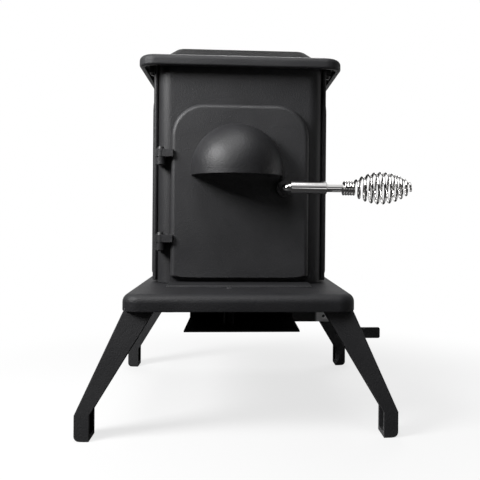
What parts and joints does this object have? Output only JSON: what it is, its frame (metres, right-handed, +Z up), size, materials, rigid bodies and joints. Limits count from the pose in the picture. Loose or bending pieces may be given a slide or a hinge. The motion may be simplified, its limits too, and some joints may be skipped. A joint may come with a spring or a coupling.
{
  "type": "potbelly stove",
  "caption": "Small box-shaped cast-iron wood stove: arched door with draft hood and coil-grip latch, wide base plate, splayed channel legs, rear flue collar, air slide.",
  "frame": {"origin": "on the floor, under the middle of the outline at rest, feet to coil grip and rim to rim", "axes": "+Z up; the door faces -Y and the flue collar +Y; +X is to the right as the door is faced"},
  "size_m": [0.3808, 0.394, 0.457],
  "materials": {
    "cast_iron_black": "matte",
    "cast_iron_dark": "matte",
    "grate_iron": "matte",
    "sheet_black": "matte",
    "bare_steel": "satin",
    "bolt_black": "satin",
    "zinc_screw": "satin",
    "chrome": "polished",
    "rope_fibre": "matte"
  },
  "bodies": {
    "stove": {"base_plate": "cast_iron_black", "front_left_leg": "cast_iron_dark", "front_right_leg": "cast_iron_dark", "rear_left_leg": "cast_iron_dark", "rear_right_leg": "cast_iron_dark", "leg_bolts": "bolt_black", "front_casting": "cast_iron_black", "left_side_plate": "cast_iron_black", "right_side_plate": "cast_iron_black", "rear_plate": "cast_iron_black", "top_plate": "cast_iron_black", "front_screws": "zinc_screw", "base_bolts": "bolt_black", "top_bolts": "bolt_black", "flue_collar": "cast_iron_black", "collar_bolts": "bolt_black", "fire_grate": "grate_iron", "ember_shield": "sheet_black", "shield_spacer": "sheet_black", "shield_screws": "zinc_screw", "slide_guides": "sheet_black", "guide_screws": "zinc_screw"},
    "slide": {"air_slide": "sheet_black", "pull_bar": "bare_steel", "pull_rivets": "bare_steel"},
    "door": {"door_panel": "cast_iron_black", "draft_hood": "cast_iron_black", "hood_screws": "zinc_screw", "door_gasket": "rope_fibre", "hinge_pins": "bolt_black"},
    "latch": {"latch_rod": "chrome", "latch_sleeve": "chrome", "coil_grip": "chrome", "latch_cam": "bolt_black", "cam_nut": "zinc_screw"}
  },
  "joints": [
    {"name": "door_swing", "type": "hinge", "parent": "stove", "child": "door", "pos_m": [-0.1129, -0.088, 0.263], "axis": [0, 0, -1], "range_deg": [0, 110]},
    {"name": "latch_turn", "type": "hinge", "parent": "door", "child": "latch", "pos_m": [0.0386, -0.1, 0.2765], "axis": [0, -1, 0], "range_deg": [-45, 0]},
    {"name": "air_slide_draw", "type": "slide", "parent": "stove", "child": "slide", "axis": [1, 0, 0], "range_m": [0, 0.013]}
  ]
}
